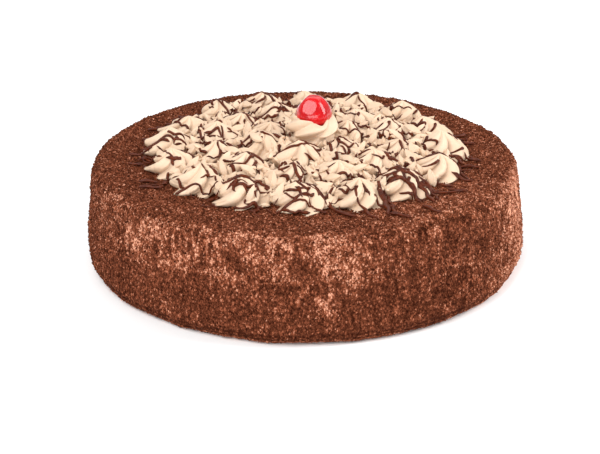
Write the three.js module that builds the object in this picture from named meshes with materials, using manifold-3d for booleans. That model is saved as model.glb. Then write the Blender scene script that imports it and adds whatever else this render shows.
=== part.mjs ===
// A whole round chocolate cake. The cake itself is one solid, coated all over in fine sponge
// crumbs. Cream rosettes, piped side by side in three rings, cover the middle of its top, and
// chocolate is drizzled to and fro across them. One more rosette is piped on top of the others,
// at the centre, and a candied cherry is pressed into it.
//
// Millimetres, +Z up. The origin is the middle of the flat base. Angles are in radians, counted
// anticlockwise from +X as seen from above.
import * as THREE from "three";
import { mergeVertices } from "three/addons/utils/BufferGeometryUtils.js";
import Module from "manifold-3d";

const wasm = await Module();
wasm.setup();

const TURN = 2 * Math.PI;
const CLEARANCE = 0.3; // gap left between pieces that touch on the real cake

// The coated cake: it is widest a little above its foot and leans in towards the top.
const CAKE_RADIUS = 125;
const CAKE_HEIGHT = 58;
const CAKE_TOP_RADIUS = 121;
const FOOT_RADIUS = 118;
const FOOT_HEIGHT = 9;
const TOP_EDGE_ROUND = 9;
const CAKE_SEGMENTS = 60;
const FOOT_ROWS = 3;
const SIDE_ROWS = 3;
const EDGE_ROWS = 3;

// The pressed crumb coat wanders in and out round the side as the sum of three waves. Each takes
// a share of the swell, runs so many times round, and turns with height by climb for each mm.
const COAT_SWELL = 0.8;
const COAT_WAVES = [
  { share: 0.35, times: 3, start: 0.8, climb: 0 },
  { share: 0.35, times: 7, start: 0, climb: 1 / 9 },
  { share: 0.3, times: 17, start: 0, climb: -1 / 5 },
];

// The rings of rosettes: how many, how far out, how wide and how tall each rosette is, and the
// angle of the ring's first one.
const RINGS = [
  { name: "a", count: 16, distance: 77.0, radius: 17.6, height: 13.2, start: -1.61 },
  { name: "b", count: 12, distance: 51.5, radius: 20.0, height: 14.4, start: -1.75 },
  { name: "c", count: 6, distance: 26.0, radius: 20.5, height: 16.0, start: -1.65 },
];
const SIZE_SPREAD = 0.08; // share by which rosettes differ in width
const HEIGHT_SPREAD = 0.24; // share by which rosettes differ in height
const PLACE_SPREAD = 2.0; // how far a rosette sits from its even place in the ring
const TIP_LEAN = 6.4; // how far a tip is pulled aside as the nozzle lifts

// The form of a rosette, as shares of its radius and height.
const LOBES = 6; // ridges that the star nozzle leaves round it
const LOBE_TWIST = 1.7; // how far a ridge turns from the foot to the tip
const TWIST_EASE = 0.7; // under 1, as most of the turn is near the foot
const LOBE_UNEVEN = 0.12; // how far, as an angle, ridges stand off their even places
const UNEVEN_AGAIN = 0.6; // share of that which comes from a wave twice as quick
const CREST_PHASE = 0.3; // where a ridge's crest is, between one groove and the next
const GROOVE_DEPTH = 0.38;
const GROOVE_DEEPENS = 0.25; // share by which grooves are deeper at the tip than at the foot
const TUCK_HEIGHT = 0.13; // below this the foot tucks under
const TUCK_DEPTH = 0.1;
const DOME = 1.8; // power of the outline: 1 for a cone, 2 for a dome
const LEVELS = [0, TUCK_HEIGHT, 0.42, 0.74];

// The raised rosette, as reaches and heights: a stem that fills the middle of the rings, then a
// skirt that spreads over them and a rim that holds the cherry.
const CENTRE = { x: 4.5, y: 0 };
const CENTRE_STEM = { reach: 13, top: 10.5 };
const CENTRE_SKIRT = [
  [12.4, 12.7],
  [15, 14.6],
  [15.6, 17],
  [14, 19.8],
  [11.4, 22.4],
];
const CENTRE_TWIST = 1.8; // how far a fold turns from the stem to the rim
const CENTRE_GROOVE = 0.24;

// A candied cherry, widest at its height above the cake's top. It is drawn in towards its top,
// which is dented, and more shortly towards its bottom.
const CHERRY = { x: 5, y: 1, height: 23.3, radius: 10.2, up: 12, down: 8.8, taper: 1.12 };
const CHERRY_DENT = 0.92;
const CHERRY_FLATS = [
  new THREE.Vector3(-0.735, 0.257, 0.625).setLength(9.4),
  new THREE.Vector3(-0.224, -0.761, 0.609).setLength(9.6),
]; // the middle of each flat, from the middle of the cherry
const FLAT_PRESS = 0.85; // share by which what lies beyond a flat is pressed in
const CHERRY_SEGMENTS = 16;
const CHERRY_ROWS = 9;
const CHERRY_SIDES = 5; // soft lumps round it
const CHERRY_LUMPS = 0.025;
const CHERRY_START = 0.6; // angle at which the lumps start

// The main passes of the drizzle, which run on past the cream.
const PASSES = [
  { count: 3, pitch: 52, angle: 0.08, sway: 3.2, overrun: 14 },
  { count: 3, pitch: 50, angle: -0.86, sway: 3.8, overrun: 9 },
];
const SWAYS = [
  { share: 1, length: 15, shift: 2.1 },
  { share: 0.5, length: 6.1, shift: 1.3 },
]; // a long wave and a short one, each shifted along from one pass to the next
const CREAM_RADIUS = 93;
const STRAND_RADIUS = 1.4; // a strand lies nearly half sunk in what is under it
const STRAND_LIFT = 0.5; // height of a strand's middle above what it lies on
const STRAND_LOWEST = 2; // least height of a strand's bed between rosettes, above the cake's top
const STRAND_SIDES = 3;
const STRAND_STEP = 8;
const HEIGHT_STEPS = 24; // levels at which the height of the cream is looked for

// Upright columns that part the strands on the cream from those on the cake.
const COLUMN_HEIGHT = 30;
const COLUMN_SIDES = 24;

const TINY = 1e-4;

// A share from -0.5 to 0.5 that scatters evenly as n counts up, for each of several traits.
function scatter(n, trait) {
  const golden = 0.618034 * (n + 1) + 0.414214 * trait;
  return golden - Math.floor(golden) - 0.5;
}

// ---- Surfaces and solids ----

// A profile of [reach, height] pairs, turned round the upright axis.
function turned(profile, segments) {
  const points = profile.map(([reach, height]) => new THREE.Vector2(reach, height));
  return new THREE.LatheGeometry(points, segments).rotateX(TURN / 4);
}

// Moves each vertex to where move(angle, reach, height) puts it.
function reshape(geometry, move) {
  const position = geometry.getAttribute("position");
  for (let i = 0; i < position.count; i++) {
    const [x, y, z] = [position.getX(i), position.getY(i), position.getZ(i)];
    position.setXYZ(i, ...move(Math.atan2(y, x), Math.hypot(x, y), z));
  }
  return geometry;
}

function toSolid(geometry) {
  geometry.deleteAttribute("normal");
  geometry.deleteAttribute("uv");
  const merged = mergeVertices(geometry, TINY);
  return new wasm.Manifold(
    new wasm.Mesh({
      numProp: 3,
      vertProperties: new Float32Array(merged.attributes.position.array),
      triVerts: new Uint32Array(merged.index.array),
    }),
  );
}

// The largest body of a solid: cutting and joining can leave loose scraps and sealed hollows.
function largestBody(solid) {
  const bodies = solid.decompose();
  return bodies.reduce((best, body) => (body.volume() > best.volume() ? body : best));
}

// A named mesh of a solid, placed at the piece's own spot on the cake.
function piece(name, solid, material, x, y, z) {
  const { vertProperties, triVerts } = largestBody(solid).getMesh();
  const geometry = new THREE.BufferGeometry();
  geometry.setAttribute("position", new THREE.BufferAttribute(vertProperties, 3));
  geometry.setIndex(new THREE.BufferAttribute(triVerts, 1));
  geometry.translate(-x, -y, -z);
  geometry.computeVertexNormals();
  const mesh = new THREE.Mesh(geometry, material);
  mesh.name = name;
  mesh.position.set(x, y, z);
  return mesh;
}

// An upright cylinder that starts a little above or below the cake's top.
function column(x, y, radius, start) {
  const cylinder = new THREE.CylinderGeometry(radius, radius, COLUMN_HEIGHT, COLUMN_SIDES);
  const middle = CAKE_HEIGHT + start + COLUMN_HEIGHT / 2;
  return toSolid(cylinder.rotateX(TURN / 4).translate(x, y, middle));
}

// ---- Rosettes ----

// Reach of a rosette's outline at a share of its height: a full foot that tucks under, then a
// dome that draws in to a sharp tip.
function outline(share) {
  const under = Math.max(0, 1 - share / TUCK_HEIGHT);
  return (1 - TUCK_DEPTH * under ** 2) * (1 - THREE.MathUtils.clamp(share, 0, 1) ** DOME);
}

// How deep the star's grooves cut at an angle: 1 in a groove and 0 on a crest. A ridge rises
// steeply from one groove to a crisp crest and curves away slowly to the next, as the nozzle
// turns while it pipes.
function groove(angle) {
  const lobe = (angle * LOBES) / TURN;
  const phase = lobe - Math.floor(lobe);
  if (phase < CREST_PHASE) return 1 - phase / CREST_PHASE;
  return 1 - Math.sin(((1 - phase) / (1 - CREST_PHASE)) * (TURN / 4));
}

// How far round a ridge has turned at a share of the height.
function twistAt(share) {
  return LOBE_TWIST * THREE.MathUtils.clamp(share, 0, 1) ** TWIST_EASE;
}

// How far a ridge stands off its even place, so that no two ridges are alike.
function uneven(own, turn) {
  return LOBE_UNEVEN * (Math.sin(own + turn) + UNEVEN_AGAIN * Math.sin(2 * own - turn));
}

// A lathe's edges alternate between grooves and crests, evenly spaced. This shifts the crests to
// where groove() has them.
function shiftCrest(angle) {
  const onCrest = Math.sin((angle * LOBES) / 2) ** 2;
  return angle - (onCrest * (0.5 - CREST_PHASE) * TURN) / LOBES;
}

// Distance from a rosette's axis to its surface, at a share of its height and an angle.
function rosetteReach(rosette, share, angle) {
  const own = angle - rosette.turn - twistAt(share);
  const depth = GROOVE_DEPTH * (1 + GROOVE_DEEPENS * share);
  const cut = depth * groove(own + uneven(own, rosette.turn));
  return rosette.radius * outline(share) * (1 - cut);
}

// How far aside a rosette's axis is at a share of its height: it bends over more near the tip.
function leanAt(rosette, share) {
  return [rosette.leanX * share ** 2, rosette.leanY * share ** 2];
}

function placeRosettes() {
  const rosettes = [];
  for (const ring of RINGS) {
    for (let i = 0; i < ring.count; i++) {
      const n = rosettes.length;
      const angle = ring.start + (TURN * i) / ring.count;
      const distance = ring.distance + PLACE_SPREAD * scatter(n, 1);
      const aside = PLACE_SPREAD * scatter(n, 3);
      rosettes.push({
        name: `rosette_${ring.name}${String(i + 1).padStart(2, "0")}`,
        x: distance * Math.cos(angle) - aside * Math.sin(angle),
        y: distance * Math.sin(angle) + aside * Math.cos(angle),
        radius: ring.radius * (1 + SIZE_SPREAD * scatter(n, 2)),
        height: ring.height * (1 + HEIGHT_SPREAD * scatter(n, 4)),
        turn: TURN * scatter(n, 5),
        leanX: TIP_LEAN * scatter(n, 6),
        leanY: TIP_LEAN * scatter(n, 7),
      });
    }
  }
  return rosettes;
}

function rosetteSolid(rosette) {
  const { x, y, radius, height, turn } = rosette;
  const rows = LEVELS.map((share) => [radius * outline(share), height * share]);
  const lathe = turned([[0, 0], ...rows, [0, height]], 2 * LOBES);
  const shaped = reshape(lathe, (latheAngle, reach, rise) => {
    const share = rise / height;
    const even = shiftCrest(latheAngle);
    const angle = even - uneven(even, turn) + turn + twistAt(share);
    const grooved = reach > TINY ? rosetteReach(rosette, share, angle) : 0;
    const [leanX, leanY] = leanAt(rosette, share);
    return [
      x + leanX + grooved * Math.cos(angle),
      y + leanY + grooved * Math.sin(angle),
      CAKE_HEIGHT + CLEARANCE + rise,
    ];
  });
  return toSolid(shaped);
}

// Keeps this rosette's side of the upright planes where it presses against its neighbours.
function trimToNeighbours(solid, rosette, rosettes) {
  let kept = solid;
  for (const other of rosettes) {
    const [dx, dy] = [rosette.x - other.x, rosette.y - other.y];
    const apart = Math.hypot(dx, dy);
    if (other === rosette || apart > rosette.radius + other.radius + CLEARANCE) continue;
    const fromOther = (apart ** 2 + other.radius ** 2 - rosette.radius ** 2) / (2 * apart);
    const [nx, ny] = [dx / apart, dy / apart];
    const offset = nx * other.x + ny * other.y + fromOther + CLEARANCE / 2;
    kept = kept.trimByPlane([nx, ny, 0], offset);
  }
  return kept;
}

// The raised rosette, from its stem to its rim. grow makes it larger all round, for cutting
// other pieces clear of it.
function centreSolid(grow) {
  const stem = [
    [0, CLEARANCE - grow],
    [CENTRE_STEM.reach + grow, CLEARANCE - grow],
    [CENTRE_STEM.reach + grow, CENTRE_STEM.top + grow],
  ];
  const lifts = [0, -grow, grow, grow, grow]; // the waist keeps its height and the overhang drops
  const skirt = CENTRE_SKIRT.map(([reach, height], row) => [reach + grow, height + lifts[row]]);
  const waist = CENTRE_SKIRT[0][1];
  const top = skirt.at(-1)[1];
  const lathe = turned([...stem, ...skirt, [0, top]], 2 * LOBES);
  const shaped = reshape(lathe, (latheAngle, reach, height) => {
    const own = shiftCrest(latheAngle);
    const climb = Math.max(0, height - CENTRE_STEM.top) / (top - CENTRE_STEM.top);
    const depth = height > waist - CLEARANCE ? CENTRE_GROOVE : 0;
    const grooved = reach * (1 - depth * groove(own));
    const angle = own + CENTRE_TWIST * climb;
    return [
      CENTRE.x + grooved * Math.cos(angle),
      CENTRE.y + grooved * Math.sin(angle),
      CAKE_HEIGHT + height,
    ];
  });
  return toSolid(shaped);
}

// ---- Cherry ----

// A ball with soft lumps, flats and a dent where the stalk was. grow makes it larger all round.
function cherrySolid(grow) {
  const { x, y, height, radius, up, down, taper } = CHERRY;
  const ball = new THREE.SphereGeometry(1, CHERRY_SEGMENTS, CHERRY_ROWS).rotateX(TURN / 4);
  const shaped = reshape(ball, (angle, reach, rise) => {
    const lumps = 1 + CHERRY_LUMPS * reach * Math.sin(CHERRY_SIDES * angle + CHERRY_START);
    const wide = (radius * lumps + grow) * reach ** taper;
    const drawn = Math.sign(rise) * Math.abs(rise) ** taper;
    const dented = rise > 1 - TINY ? CHERRY_DENT : 1;
    const tall = ((rise > 0 ? up : down) + grow) * drawn * dented;
    const spot = new THREE.Vector3(wide * Math.cos(angle), wide * Math.sin(angle), tall);
    for (const flat of CHERRY_FLATS) {
      const way = flat.clone().normalize();
      const beyond = Math.max(0, spot.dot(way) - flat.length() - grow);
      spot.addScaledVector(way, -FLAT_PRESS * beyond);
    }
    return [x + spot.x, y + spot.y, CAKE_HEIGHT + height + spot.z];
  });
  return toSolid(shaped);
}

// ---- Coated cake ----

function cakeSolid() {
  const shoulder = CAKE_HEIGHT - TOP_EDGE_ROUND;
  const profile = [[0, 0]];
  for (let i = FOOT_ROWS; i > 0; i--) {
    const around = ((TURN / 4) * i) / FOOT_ROWS;
    const reach = FOOT_RADIUS + (CAKE_RADIUS - FOOT_RADIUS) * Math.cos(around);
    profile.push([reach, FOOT_HEIGHT * (1 - Math.sin(around))]);
  }
  for (let i = 0; i <= SIDE_ROWS; i++) {
    const share = i / SIDE_ROWS;
    const reach = CAKE_RADIUS + share * (CAKE_TOP_RADIUS - CAKE_RADIUS);
    profile.push([reach, FOOT_HEIGHT + share * (shoulder - FOOT_HEIGHT)]);
  }
  for (let i = 1; i <= EDGE_ROWS; i++) {
    const around = ((TURN / 4) * i) / EDGE_ROWS;
    const reach = CAKE_TOP_RADIUS - TOP_EDGE_ROUND * (1 - Math.cos(around));
    profile.push([reach, shoulder + TOP_EDGE_ROUND * Math.sin(around)]);
  }
  profile.push([0, CAKE_HEIGHT]);
  const lathe = turned(profile, CAKE_SEGMENTS);
  const shaped = reshape(lathe, (angle, reach, height) => {
    let wave = 0;
    for (const { share, times, start, climb } of COAT_WAVES) {
      wave += share * Math.sin(times * angle + start + climb * height);
    }
    const onSide = height > TINY && reach > CREAM_RADIUS;
    const swollen = reach + (onSide ? COAT_SWELL * wave : 0);
    return [swollen * Math.cos(angle), swollen * Math.sin(angle), height];
  });
  return toSolid(shaped);
}

// ---- Drizzle ----

// Height of the piped cream above the cake's top at a place, or 0 where there is none.
function creamHeight(rosettes, x, y) {
  let highest = 0;
  for (const rosette of rosettes) {
    for (let step = HEIGHT_STEPS; step > 0; step--) {
      const share = step / HEIGHT_STEPS;
      const [leanX, leanY] = leanAt(rosette, share);
      const [dx, dy] = [x - rosette.x - leanX, y - rosette.y - leanY];
      if (Math.hypot(dx, dy) < rosetteReach(rosette, share, Math.atan2(dy, dx))) {
        highest = Math.max(highest, share * rosette.height);
        break;
      }
    }
  }
  return highest;
}

// The places that each pass of the drizzle goes through, from one end to the other.
function drizzlePaths() {
  const paths = [];
  for (const pass of PASSES) {
    for (let i = 0; i < pass.count; i++) {
      const n = paths.length;
      const across = pass.pitch * (i - (pass.count - 1) / 2 + 0.5 * scatter(n, 1));
      const half = Math.sqrt(Math.max(CREAM_RADIUS ** 2 - across ** 2, 0));
      const start = -half - pass.overrun * (0.5 + scatter(n, 2));
      const end = half + pass.overrun * (0.5 + scatter(n, 3));
      const steps = Math.round((end - start) / STRAND_STEP);
      const path = [];
      for (let step = 0; step <= steps; step++) {
        const along = start + ((end - start) * step) / steps;
        let wave = 0;
        for (const { share, length, shift } of SWAYS) {
          wave += share * Math.sin(along / length + shift * n);
        }
        const aside = across + pass.sway * wave;
        path.push([
          along * Math.cos(pass.angle) - aside * Math.sin(pass.angle),
          along * Math.sin(pass.angle) + aside * Math.cos(pass.angle),
        ]);
      }
      paths.push(path);
    }
  }
  return paths;
}

// A strand laid along a path, at the height that heightAt(x, y) gives.
function strandSolid(path, heightAt) {
  const points = path.map(([x, y]) => new THREE.Vector3(x, y, heightAt(x, y)));
  const section = new THREE.Shape();
  for (let side = 0; side < STRAND_SIDES; side++) {
    const angle = (TURN * side) / STRAND_SIDES;
    const corner = [STRAND_RADIUS * Math.cos(angle), STRAND_RADIUS * Math.sin(angle)];
    if (side === 0) section.moveTo(...corner);
    else section.lineTo(...corner);
  }
  const tube = new THREE.ExtrudeGeometry(section, {
    steps: path.length - 1,
    extrudePath: new THREE.CatmullRomCurve3(points),
  });
  return toSolid(tube);
}

// ---- The whole cake ----

const crumbCoat = new THREE.MeshStandardMaterial({
  color: 0x6b3a28,
  roughness: 0.95,
  metalness: 0,
});
const cream = new THREE.MeshStandardMaterial({ color: 0xecd2b2, roughness: 0.5, metalness: 0 });
const candied = new THREE.MeshStandardMaterial({ color: 0xd4141f, roughness: 0.15, metalness: 0 });

function build() {
  const { union } = wasm.Manifold;
  const rosettes = placeRosettes();
  const paths = drizzlePaths();
  const onCake = () => CAKE_HEIGHT + STRAND_LIFT;
  const onCream = (x, y) => onCake() + Math.max(creamHeight(rosettes, x, y), STRAND_LOWEST);
  const creamStrands = union(paths.map((path) => strandSolid(path, onCream)));
  const cakeStrands = union(paths.map((path) => strandSolid(path, onCake)));
  const sunk = -2 * STRAND_RADIUS;
  const underCream = union([
    column(0, 0, RINGS[0].distance, sunk),
    ...rosettes.map(({ x, y, radius }) => column(x, y, radius + STRAND_LIFT + CLEARANCE, sunk)),
  ]);

  const group = new THREE.Group();
  const coated = cakeSolid().add(cakeStrands.subtract(underCream));
  group.add(piece("cake", coated, crumbCoat, 0, 0, 0));

  const aroundCentre = centreSolid(CLEARANCE);
  for (const rosette of rosettes) {
    const { name, x, y, radius } = rosette;
    const strands = creamStrands.intersect(column(x, y, radius, CLEARANCE));
    const drizzled = trimToNeighbours(rosetteSolid(rosette).add(strands), rosette, rosettes);
    group.add(piece(name, drizzled.subtract(aroundCentre), cream, x, y, CAKE_HEIGHT));
  }

  const seated = centreSolid(0).subtract(cherrySolid(CLEARANCE));
  group.add(piece("rosette_centre", seated, cream, CENTRE.x, CENTRE.y, CAKE_HEIGHT));
  group.add(piece("cherry", cherrySolid(0), candied, CHERRY.x, CHERRY.y, CAKE_HEIGHT));
  return group;
}

export default build();
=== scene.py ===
# %% [markdown]
# # A round chocolate cake with piped cream
# The cake's plain solids come from the frame, in metres, with +Z up and the middle of the base
# at the origin. This script keeps their form and gives them the surface that makes them food:
# a coat of sponge crumbs, soft star-nozzle swirls, threads of chocolate and a candied cherry.
# All of it could be sculpted by hand. Formulas are used here, because they are quick to change
# and give the same cake each time.

import bpy
import numpy as np
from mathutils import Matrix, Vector


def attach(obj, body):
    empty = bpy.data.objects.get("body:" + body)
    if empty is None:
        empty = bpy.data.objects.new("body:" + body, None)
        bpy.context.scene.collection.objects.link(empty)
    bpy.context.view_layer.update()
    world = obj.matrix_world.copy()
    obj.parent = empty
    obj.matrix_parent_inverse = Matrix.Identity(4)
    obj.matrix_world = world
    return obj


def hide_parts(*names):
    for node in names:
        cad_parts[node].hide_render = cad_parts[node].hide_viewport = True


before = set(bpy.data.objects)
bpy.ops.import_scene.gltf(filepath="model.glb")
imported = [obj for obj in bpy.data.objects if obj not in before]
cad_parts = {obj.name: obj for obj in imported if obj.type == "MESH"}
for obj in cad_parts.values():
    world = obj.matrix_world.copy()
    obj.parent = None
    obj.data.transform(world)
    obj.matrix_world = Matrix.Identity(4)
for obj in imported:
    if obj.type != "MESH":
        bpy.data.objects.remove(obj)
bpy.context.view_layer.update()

MM = 0.001
TURN = 2 * np.pi

# %% [markdown]
# ## Sizes
# A baker's numbers, in millimetres. They are the same ones that the plain solids were made
# from, so every new surface lands on the solid that it stands for. The rings of rosettes are
# given by how many there are, how far out they sit, and how wide and tall each is.

# %% Sizes of the cake and its toppings
CLEARANCE = 0.3
CAKE_RADIUS = 125.0
CAKE_HEIGHT = 58.0
CAKE_TOP_RADIUS = 121.0
FOOT_RADIUS = 118.0
FOOT_HEIGHT = 9.0
TOP_EDGE_ROUND = 9.0
COAT_SWELL = 0.8
COAT_WAVES = [
    {"share": 0.35, "times": 3, "start": 0.8, "climb": 0},
    {"share": 0.35, "times": 7, "start": 0, "climb": 1 / 9},
    {"share": 0.3, "times": 17, "start": 0, "climb": -1 / 5},
]
CREAM_RADIUS = 93.0

RINGS = [
    {"name": "a", "count": 16, "distance": 77.0, "radius": 17.6, "height": 13.2, "start": -1.61},
    {"name": "b", "count": 12, "distance": 51.5, "radius": 20.0, "height": 14.4, "start": -1.75},
    {"name": "c", "count": 6, "distance": 26.0, "radius": 20.5, "height": 16.0, "start": -1.65},
]
SIZE_SPREAD = 0.08
HEIGHT_SPREAD = 0.24
PLACE_SPREAD = 2.0
TIP_LEAN = 6.4

LOBES = 6
LOBE_TWIST = 1.7
TWIST_EASE = 0.7
LOBE_UNEVEN = 0.12
UNEVEN_AGAIN = 0.6
CREST_PHASE = 0.3
GROOVE_DEPTH = 0.38
GROOVE_DEEPENS = 0.25
TUCK_HEIGHT = 0.13
TUCK_DEPTH = 0.1

CENTRE = (4.5, 0.0)
CENTRE_STEM = 10.5
CENTRE_TOP = 22.4
CENTRE_TWIST = 1.8
CHERRY = {
    "x": 5.0,
    "y": 1.0,
    "height": 23.3,
    "radius": 10.2,
    "up": 12.0,
    "down": 8.8,
    "taper": 1.12,
}
CHERRY_FLATS = [((-0.735, 0.257, 0.625), 9.4), ((-0.224, -0.761, 0.609), 9.6)]
print("cake", 2 * CAKE_RADIUS, "mm across and", CAKE_HEIGHT, "mm high")

# %% [markdown]
# ## Unevenness that is always the same
# Food is never even, but a script has to give the same cake each time. Two tools do that. One
# makes smooth random hills out of hashed whole-number places, at any size of hill. The other
# spreads numbers evenly without repeating, by stepping round with the golden ratio.

# %% Smooth hills and even scatter
GOLDEN_STEP = 0.618034
TRAIT_STEP = 0.414214


def hashed(x, y, z, seed):
    """A number from 0 to 1 for each whole-number place. Multiplying by large primes and
    folding the bits over leaves no pattern that the eye can find."""
    bits = (x * 374761393 + y * 668265263 + z * 1442695041 + seed * 974634777).astype(np.uint32)
    bits = (bits ^ (bits >> 13)) * np.uint32(1274126177)
    return ((bits ^ (bits >> 16)) & 0xFFFFFF) / 0xFFFFFF


def hills(points, size, seed=0):
    """Smooth heights from -1 to 1 over points in space. Each corner of a grid of cubes of the
    given size has a random height, and a point takes an eased mix of its cube's corners."""
    place = points / size
    corner = np.floor(place).astype(np.int64)
    inside = place - corner
    inside = inside * inside * (3 - 2 * inside)
    total = np.zeros(points.shape[:-1])
    for step in np.ndindex(2, 2, 2):
        weight = np.prod(np.where(step, inside, 1 - inside), axis=-1)
        total += weight * hashed(*np.moveaxis(corner + step, -1, 0), seed)
    return 2 * total - 1


def scatter(n, trait):
    """A share from -0.5 to 0.5 that scatters evenly as n counts up, one for each trait."""
    turned = GOLDEN_STEP * (n + 1) + TRAIT_STEP * trait
    return turned - np.floor(turned) - 0.5


print("hills at one place:", round(float(hills(np.array([[1.0, 2.0, 3.0]]), 2.0)[0]), 3))

# %% [markdown]
# A baker's hand changes things gently from place to place. Two soft masks say where: a hump
# fades to both sides of one value, and a span is full between two values and fades past them.

# %% Soft masks
def hump(value, middle, width):
    """1 at the middle and nearly 0 two widths away: e to the power of minus the square of the
    distance in widths."""
    return np.exp(-(((value - middle) / width) ** 2))


def within(value, middle, half, border):
    """1 less than half away from the middle and 0 further out, by a logistic curve across the
    border."""
    return 1 / (1 + np.exp((np.abs(value - middle) - half) / border))


print("a hump one width away:", round(float(hump(1.0, 0.0, 1.0)), 3))

# %% [markdown]
# ## From arrays to a mesh
# A surface of turning is a grid: rows go up its profile and columns go round it. The columns
# join up, and one point closes each end. Flat arrays go straight into Blender's mesh, which is
# far quicker than adding points one at a time.

# %% Mesh helpers
def add_piece(name, points, faces, finish, tone=None, smooth=True):
    """Makes a mesh object from points in millimetres and a list of arrays of faces, each array
    with its own number of corners. tone is one number for each point, which its finish reads."""
    mesh = bpy.data.meshes.new(name)
    mesh.vertices.add(len(points))
    mesh.vertices.foreach_set("co", (points * MM).astype(np.float32).ravel())
    corners = np.concatenate([face.ravel() for face in faces])
    counts = np.concatenate([np.full(len(face), face.shape[1]) for face in faces])
    mesh.loops.add(len(corners))
    mesh.loops.foreach_set("vertex_index", corners.astype(np.int32))
    mesh.polygons.add(len(counts))
    mesh.polygons.foreach_set("loop_start", (np.cumsum(counts) - counts).astype(np.int32))
    mesh.polygons.foreach_set("use_smooth", np.full(len(counts), smooth))
    if tone is not None:
        layer = mesh.attributes.new("tone", "FLOAT", "POINT")
        layer.data.foreach_set("value", tone.astype(np.float32))
    mesh.update(calc_edges=True)
    mesh.validate()
    piece = bpy.data.objects.new(name, mesh)
    bpy.context.scene.collection.objects.link(piece)
    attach(piece, "root")
    mesh.materials.append(finish)
    triangles = int((counts - 2).sum())
    print(f"{name}: {len(points)} points, {triangles} triangles")
    return piece


def round_faces(rows, columns, first=0):
    """Faces of a closed surface whose points are a bottom pole, rows of columns, a top pole."""
    row, column = np.mgrid[0 : rows - 1, 0:columns]
    here = first + 1 + row * columns + column
    beside = first + 1 + row * columns + (column + 1) % columns
    quads = np.stack([here, beside, beside + columns, here + columns], axis=-1).reshape(-1, 4)
    around = np.arange(columns)
    following = (around + 1) % columns
    low = first + 1
    high = first + 1 + (rows - 1) * columns
    top_pole = first + 1 + rows * columns
    bottom = np.stack([np.full(columns, first), low + following, low + around], axis=-1)
    top = np.stack([np.full(columns, top_pole), high + around, high + following], axis=-1)
    return [quads, np.concatenate([bottom, top])]


def with_poles(grid, bottom, top):
    """Puts a grid of points between its two poles, as one list of points."""
    return np.concatenate([[bottom], grid.reshape(-1, 3), [top]])


def round_grid(reach, angle, height, x=0.0, y=0.0):
    """Points at a reach from an upright axis, an angle round it and a height."""
    reach, angle, height = np.broadcast_arrays(reach, angle, height)
    return np.stack([x + reach * np.cos(angle), y + reach * np.sin(angle), height], axis=-1)


# %% [markdown]
# ## Finishes
# Each finish is a small set of shader nodes that read where a point is on the piece, so that
# the pattern sits still on the food. A few short helpers keep the wiring readable. A number
# that is the same all over goes straight onto the shader.

# %% Helpers for finishes
def new_finish(name, **settings):
    """A material with one Principled shader, its plain settings and its node tools."""
    finish = bpy.data.materials.new(name)
    finish.use_nodes = True
    shader = finish.node_tree.nodes["Principled BSDF"]
    for socket, value in settings.items():
        shader.inputs[socket.replace("_", " ")].default_value = value
    return finish, finish.node_tree.nodes, finish.node_tree.links, shader


def grain(nodes, links, size, detail=4.0, kind="ShaderNodeTexNoise", stretch=(1, 1, 1)):
    """A noise or cell pattern whose features are about size millimetres across."""
    where = nodes.new("ShaderNodeTexCoord")
    place = nodes.new("ShaderNodeMapping")
    place.inputs["Scale"].default_value = stretch
    pattern = nodes.new(kind)
    pattern.inputs["Scale"].default_value = 1 / (size * MM)
    if "Detail" in pattern.inputs:
        pattern.inputs["Detail"].default_value = detail
    links.new(where.outputs["Object"], place.inputs["Vector"])
    links.new(place.outputs["Vector"], pattern.inputs["Vector"])
    return pattern


def tone_of_points(nodes):
    """The number called tone that the piece's points carry."""
    tone = nodes.new("ShaderNodeAttribute")
    tone.attribute_name = "tone"
    return tone.outputs["Fac"]


def colour_steps(nodes, links, source, steps):
    """A colour ramp from (position, colour) pairs, fed by a number."""
    ramp = nodes.new("ShaderNodeValToRGB")
    stops = ramp.color_ramp.elements
    while len(stops) < len(steps):
        stops.new(0.5)
    for stop, (position, colour) in zip(stops, steps):
        stop.position = position
        stop.color = (*colour, 1)
    links.new(source, ramp.inputs["Fac"])
    return ramp.outputs["Color"]


def mixed(nodes, links, share, first, second):
    """A mix of two colours. share is a number from 0 to 1, or an output that gives it."""
    mix = nodes.new("ShaderNodeMix")
    mix.data_type = "RGBA"
    for socket, value in ((0, share), (6, first), (7, second)):
        if isinstance(value, bpy.types.NodeSocket):
            links.new(value, mix.inputs[socket])
        else:
            mix.inputs[socket].default_value = value
    return mix.outputs[2]


def sum_of(nodes, links, *parts):
    """Adds up outputs, each times its own number: (output, number) pairs and a plain number."""
    total = parts[-1]
    for output, factor in parts[:-1]:
        step = nodes.new("ShaderNodeMath")
        step.operation = "MULTIPLY_ADD"
        step.inputs[1].default_value = factor
        links.new(output, step.inputs[0])
        if isinstance(total, bpy.types.NodeSocket):
            links.new(total, step.inputs[2])
        else:
            step.inputs[2].default_value = total
        total = step.outputs[0]
    return total


def raised(nodes, links, source, height, shader):
    """Fine relief, height millimetres deep, from a pattern."""
    bump = nodes.new("ShaderNodeBump")
    bump.inputs["Distance"].default_value = height * MM
    links.new(source, bump.inputs["Height"])
    links.new(bump.outputs["Normal"], shader.inputs["Normal"])
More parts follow.
